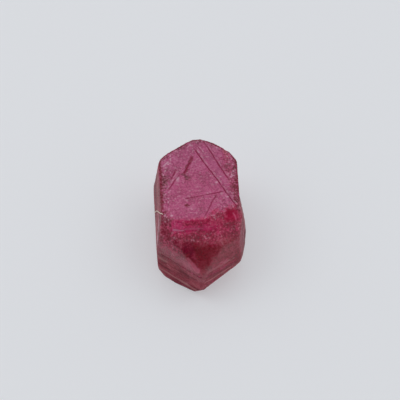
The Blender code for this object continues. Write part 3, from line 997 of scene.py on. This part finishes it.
@dataclass
class DustFibre:
    """A pale fibre of dust that lies over the crystal's left edge."""

    radius: float = 0.042
    lift: float = 1.3
    sides: int = 6
    step: float = 0.1
    roughness: float = 0.8
    colour: Colour = (0.78, 0.66, 0.56, 1.0)
    way: tuple[Place, ...] = (
        (-4.4, 0.05, 3.6), (-4.05, -0.38, 4.5), (-3.86, -0.95, 5.2), (-3.66, -1.6, 5.85),
        (-3.45, -2.15, 6.45), (-3.29, -2.45, 6.75), (-3.0, -2.58, 6.75), (-2.75, -2.5, 6.75))

    def build(self, crystal: Piece) -> Piece:
        """Build the fibre as a thin tube that lies on the crystal.

        Args:
            crystal: The finished crystal, on whose surface the fibre rests.

        Returns:
            The finished piece, at the origin.
        """
        course = self.course(crystal)
        bpy.ops.object.select_all(action="DESELECT")
        bpy.ops.mesh.primitive_circle_add(
            vertices=self.sides, radius=self.radius * MM, fill_type="NGON", location=course[0],
            rotation=(course[1] - course[0]).to_track_quat("Z", "Y").to_euler())
        fibre = bpy.context.object
        fibre.name = "dust_fibre"
        bpy.ops.object.transform_apply(location=True, rotation=True, scale=True)
        bpy.ops.object.mode_set(mode="EDIT")
        bpy.ops.mesh.select_all(action="SELECT")
        for here, there in zip(course, course[1:]):
            bpy.ops.mesh.extrude_region_move(TRANSFORM_OT_translate={"value": there - here})
        bpy.ops.mesh.select_all(action="SELECT")
        bpy.ops.mesh.normals_make_consistent(inside=False)
        bpy.ops.object.mode_set(mode="OBJECT")
        bpy.ops.object.shade_smooth()
        return fibre

    def course(self, crystal: Piece) -> list[Vector]:
        """Find where the fibre's middle line runs, just clear of the crystal.

        Args:
            crystal: The finished crystal.

        Returns:
            Places along the line, in metres.
        """
        low, high = CAD_BOX
        radius = self.radius * MM
        course = []
        for start, end in zip(self.way, self.way[1:]):
            count = max(2, round(math.dist(start, end) / self.step))
            for share in np.arange(count) / count:
                wanted = Vector(start).lerp(Vector(end), share) * MM
                _, near, normal, _ = crystal.closest_point_on_mesh(wanted)
                place = near + normal * self.lift * radius
                place.x = max(place.x, low[0] + radius)
                place.z = min(place.z, high[2] - radius)
                course.append(place)
        return course

    def dress(self, piece: Piece) -> None:
        """Give the fibre its dull tan finish and let it ride with the crystal.

        Args:
            piece: The finished fibre.
        """
        material = bpy.data.materials.new("dust")
        tree = ShaderTree(material)
        dull = tree.principled({"Base Color": self.colour, "Roughness": self.roughness})
        tree.end("ShaderNodeOutputMaterial", Surface=dull)
        piece.data.materials.append(material)
        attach(piece, BODY)


# ---- the studio

@dataclass(frozen=True)
class Softbox:
    """A square soft light, placed by its azimuth and its height above level."""

    name: str
    azimuth: float
    elevation: float
    distance: float
    width: float
    watts: float

    def build(self, target: Vector) -> None:
        """Add the light.

        Args:
            target: The place that it looks at, in metres.
        """
        turn, lift = math.radians(self.azimuth), math.radians(self.elevation)
        way = Vector((math.sin(turn) * math.cos(lift), -math.cos(turn) * math.cos(lift), math.sin(lift)))
        light = bpy.data.lights.new(self.name, "AREA")
        light.size = self.width * MM
        light.energy = self.watts
        lamp = bpy.data.objects.new(self.name, light)
        lamp.location = target + way * self.distance * MM
        lamp.rotation_euler = way.to_track_quat("Z", "Y").to_euler()
        bpy.context.scene.collection.objects.link(lamp)


@dataclass
class Studio:
    """The floor, the lights and the camera."""

    target: Place = (0.135, 1.98, 3.2)
    camera_distance: float = 75.0
    camera_elevation: float = 52.0
    lens: float = 67.5
    floor_width: float = 900.0
    floor_gap: float = 0.02
    floor_colour: Colour = (0.46, 0.47, 0.485, 1.0)
    floor_glow: Colour = (0.345, 0.35, 0.36, 1.0)
    sky_tint: Colour = (0.94, 0.96, 1.0, 1.0)
    sky_strength: float = 0.72
    shade_strength: float = 0.05
    shade_elevation: float = 50.0
    shade_inner: float = 20.0
    shade_outer: float = 36.0
    lights: tuple[Softbox, ...] = (
        Softbox("left softbox", -102, 50, 280, 160, 0.09),
        Softbox("right softbox", 102, 50, 280, 160, 0.07),
    )

    def build(self) -> None:
        """Build the floor, the sky, the lights and the camera."""
        bpy.context.scene.view_settings.view_transform = "Standard"
        self.build_floor()
        self.build_sky()
        for light in self.lights:
            light.build(Vector(self.target) * MM)
        self.build_camera()

    def build_floor(self) -> None:
        """Add the plain pale floor."""
        bpy.ops.object.select_all(action="DESELECT")
        bpy.ops.mesh.primitive_plane_add(
            size=self.floor_width * MM, location=(0, 0, -self.floor_gap * MM))
        floor = bpy.context.object
        floor.name = "floor"
        material = bpy.data.materials.new("floor")
        tree = ShaderTree(material)
        paint = tree.principled({
            "Base Color": self.floor_colour, "Roughness": 0.6,
            "Emission Color": self.floor_glow, "Emission Strength": 1.0})
        tree.end("ShaderNodeOutputMaterial", Surface=paint)
        floor.data.materials.append(material)

    def build_sky(self) -> None:
        """Light the scene from all round, with a shaded stretch high at the front."""
        world = bpy.data.worlds.new("studio air")
        tree = ShaderTree(world)
        way = tree.add("ShaderNodeTexCoord", {}, {}, "Generated")
        lift = math.radians(self.shade_elevation)
        middle = (0.0, -math.cos(lift), math.sin(lift))
        product = {"operation": "DOT_PRODUCT"}
        nearness = tree.add("ShaderNodeVectorMath", product, {0: way, 1: middle}, "Value")
        inner, outer = (math.cos(math.radians(angle)) for angle in (self.shade_inner, self.shade_outer))
        bright = nearness.rise(inner, outer)
        strength = bright * (self.sky_strength - self.shade_strength) + self.shade_strength
        air = tree.add("ShaderNodeBackground", {}, {"Color": self.sky_tint, "Strength": strength})
        tree.end("ShaderNodeOutputWorld", Surface=air)
        bpy.context.scene.world = world

    def build_camera(self) -> None:
        """Add the camera, which looks down at the crystal from the front."""
        lift = math.radians(self.camera_elevation)
        away = Vector((0, -math.cos(lift), math.sin(lift))) * self.camera_distance
        data = bpy.data.cameras.new("camera")
        data.lens = self.lens
        data.clip_start = MM
        camera = bpy.data.objects.new("camera", data)
        camera.location = (Vector(self.target) + away) * MM
        camera.rotation_euler = (math.pi / 2 - lift, 0, 0)
        bpy.context.scene.collection.objects.link(camera)
        bpy.context.scene.camera = camera


def main() -> None:
    """Build the crystal and the studio."""
    logging.basicConfig(level=logging.INFO, format="%(name)s: %(message)s")
    crystal = RubyCrystal()
    piece = crystal.build()
    crystal.dress(piece)
    log.info("%s: %d faces", piece.name, len(piece.data.polygons))
    fibre = DustFibre()
    strand = fibre.build(piece)
    fibre.dress(strand)
    log.info("%s: %d faces", strand.name, len(strand.data.polygons))
    Studio().build()
    log.info("floor, lights and camera are in place")


if __name__ == "__main__":
    main()
